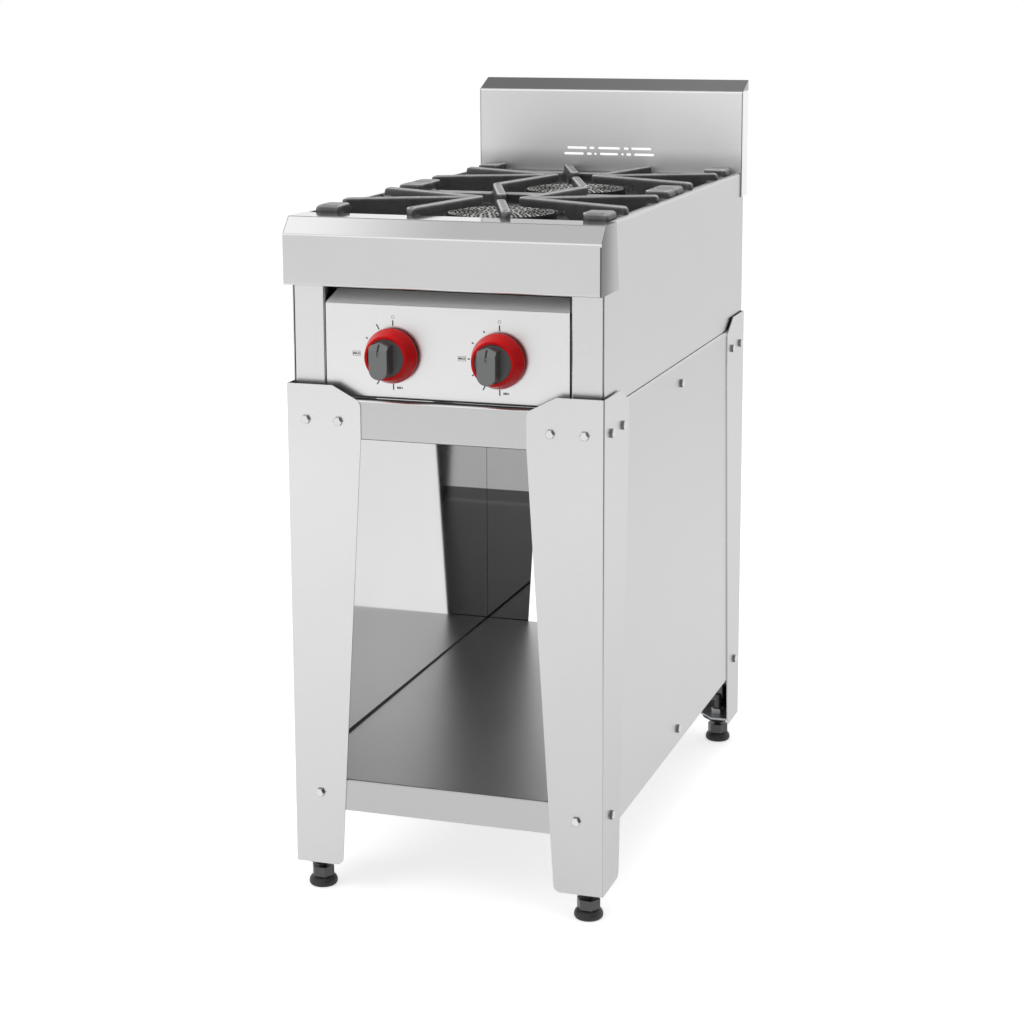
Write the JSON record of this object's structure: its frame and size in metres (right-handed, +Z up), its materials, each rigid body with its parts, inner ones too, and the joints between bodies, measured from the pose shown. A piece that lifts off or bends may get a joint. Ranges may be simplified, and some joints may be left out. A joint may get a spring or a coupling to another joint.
{
  "type": "commercial gas cooktop",
  "caption": "Gas cooktop with cast-iron grates over drilled burners, turn knobs, a backsplash and an open stand with a shelf and levelling feet.",
  "frame": {"origin": "middle of the floor area that the whole object covers, on the floor", "axes": "+Z up, +Y to the back towards the backsplash, +X to the right as seen from the knobs"},
  "size_m": [0.408, 0.793, 0.98],
  "materials": {
    "stainless": "fine satin",
    "stainless_well": "pressed satin",
    "galvanised": "dull zinc",
    "fastener_steel": "bright",
    "foot_stainless": "turned",
    "foot_plastic": "moulded",
    "cast_iron": "rough matt",
    "burner_iron": "cast and drilled",
    "brass": "turned",
    "stem_steel": "ground",
    "pipe_steel": "drawn tube",
    "knob_red": "gloss",
    "knob_grey": "satin"
  },
  "bodies": {
    "cooker": {"leg_front_left": "stainless", "leg_front_right": "stainless", "leg_rear_left": "stainless", "leg_rear_right": "stainless", "lower_panel_left": "stainless", "lower_panel_right": "stainless", "front_beam": "stainless", "rear_beam": "stainless", "shelf": "stainless", "body_side_left": "stainless", "body_side_right": "stainless", "front_post_left": "stainless", "front_post_right": "stainless", "control_panel": "stainless", "apron": "stainless", "backsplash_front": "stainless", "backsplash_back": "stainless", "rear_panel": "stainless", "cooktop_well": "stainless_well", "side_rail_left": "galvanised", "side_rail_right": "galvanised", "bottom_shield": "galvanised", "burner_bridges": "galvanised", "manifold_saddles": "galvanised", "foot_plates": "galvanised", "stand_bolts": "fastener_steel", "stand_nuts": "fastener_steel", "rear_panel_screws": "fastener_steel", "valve_springs": "fastener_steel", "foot_caps": "foot_plastic", "burner_front": "burner_iron", "burner_rear": "burner_iron", "injectors": "brass", "gas_valve_left": "brass", "gas_valve_right": "brass", "valve_bonnets": "brass", "gas_inlet": "brass", "gas_manifold": "pipe_steel", "supply_pipe_front": "pipe_steel", "supply_pipe_rear": "pipe_steel"},
    "valve_push_left": {"stem_collar_left": "stem_steel"},
    "knob_left": {"valve_stem_left": "stem_steel", "knob_skirt_left": "knob_red", "knob_grip_left": "knob_grey"},
    "valve_push_right": {"stem_collar_right": "stem_steel"},
    "knob_right": {"valve_stem_right": "stem_steel", "knob_skirt_right": "knob_red", "knob_grip_right": "knob_grey"},
    "foot_front_left": {"foot_pad_front_left": "foot_plastic"},
    "spindle_front_left": {"foot_spindle_front_left": "foot_stainless"},
    "foot_front_right": {"foot_pad_front_right": "foot_plastic"},
    "spindle_front_right": {"foot_spindle_front_right": "foot_stainless"},
    "foot_rear_left": {"foot_pad_rear_left": "foot_plastic"},
    "spindle_rear_left": {"foot_spindle_rear_left": "foot_stainless"},
    "foot_rear_right": {"foot_pad_rear_right": "foot_plastic"},
    "spindle_rear_right": {"foot_spindle_rear_right": "foot_stainless"},
    "grate_lift_front": {"grate_front": "cast_iron"},
    "burner_head_lift_front": {"burner_head_front": "burner_iron"},
    "grate_lift_rear": {"grate_rear": "cast_iron"},
    "burner_head_lift_rear": {"burner_head_rear": "burner_iron"}
  },
  "joints": [
    {"name": "knob_push_left", "type": "slide", "parent": "cooker", "child": "valve_push_left", "axis": [0, 1, 0], "range_m": [0, 0.004], "stiffness_N_per_m": 600, "springref_m": -0.004},
    {"name": "knob_turn_left", "type": "hinge", "parent": "valve_push_left", "child": "knob_left", "pos_m": [-0.067, -0.3455, 0.686], "axis": [0, -1, 0], "range_deg": [0, 180]},
    {"name": "knob_push_right", "type": "slide", "parent": "cooker", "child": "valve_push_right", "axis": [0, 1, 0], "range_m": [0, 0.004], "stiffness_N_per_m": 600, "springref_m": -0.004},
    {"name": "knob_turn_right", "type": "hinge", "parent": "valve_push_right", "child": "knob_right", "pos_m": [0.067, -0.3455, 0.686], "axis": [0, -1, 0], "range_deg": [0, 180]},
    {"name": "foot_level_front_left", "type": "slide", "parent": "cooker", "child": "foot_front_left", "axis": [0, 0, 1], "range_m": [-0.009, 0.003]},
    {"name": "foot_screw_front_left", "type": "hinge", "parent": "foot_front_left", "child": "spindle_front_left", "pos_m": [-0.175, -0.3355, 0.038], "axis": [0, 0, 1], "range_deg": [-2160, 720]},
    {"name": "foot_level_front_right", "type": "slide", "parent": "cooker", "child": "foot_front_right", "axis": [0, 0, 1], "range_m": [-0.009, 0.003]},
    {"name": "foot_screw_front_right", "type": "hinge", "parent": "foot_front_right", "child": "spindle_front_right", "pos_m": [0.175, -0.3355, 0.038], "axis": [0, 0, 1], "range_deg": [-2160, 720]},
    {"name": "foot_level_rear_left", "type": "slide", "parent": "cooker", "child": "foot_rear_left", "axis": [0, 0, 1], "range_m": [-0.009, 0.003]},
    {"name": "foot_screw_rear_left", "type": "hinge", "parent": "foot_rear_left", "child": "spindle_rear_left", "pos_m": [-0.175, 0.3555, 0.038], "axis": [0, 0, 1], "range_deg": [-2160, 720]},
    {"name": "foot_level_rear_right", "type": "slide", "parent": "cooker", "child": "foot_rear_right", "axis": [0, 0, 1], "range_m": [-0.009, 0.003]},
    {"name": "foot_screw_rear_right", "type": "hinge", "parent": "foot_rear_right", "child": "spindle_rear_right", "pos_m": [0.175, 0.3555, 0.038], "axis": [0, 0, 1], "range_deg": [-2160, 720]},
    {"name": "grate_lift_off_front", "type": "slide", "parent": "cooker", "child": "grate_lift_front", "axis": [0, 0, 1], "range_m": [0, 0.06]},
    {"name": "burner_head_lift_off_front", "type": "slide", "parent": "cooker", "child": "burner_head_lift_front", "axis": [0, 0, 1], "range_m": [0, 0.006]},
    {"name": "grate_lift_off_rear", "type": "slide", "parent": "cooker", "child": "grate_lift_rear", "axis": [0, 0, 1], "range_m": [0, 0.06]},
    {"name": "burner_head_lift_off_rear", "type": "slide", "parent": "cooker", "child": "burner_head_lift_rear", "axis": [0, 0, 1], "range_m": [0, 0.006]}
  ],
  "couplings": [
    {"joint": "foot_screw_front_left", "follows": "foot_level_front_left", "rad_per_m": 4188.8},
    {"joint": "foot_screw_front_right", "follows": "foot_level_front_right", "rad_per_m": 4188.8},
    {"joint": "foot_screw_rear_left", "follows": "foot_level_rear_left", "rad_per_m": 4188.8},
    {"joint": "foot_screw_rear_right", "follows": "foot_level_rear_right", "rad_per_m": 4188.8}
  ]
}
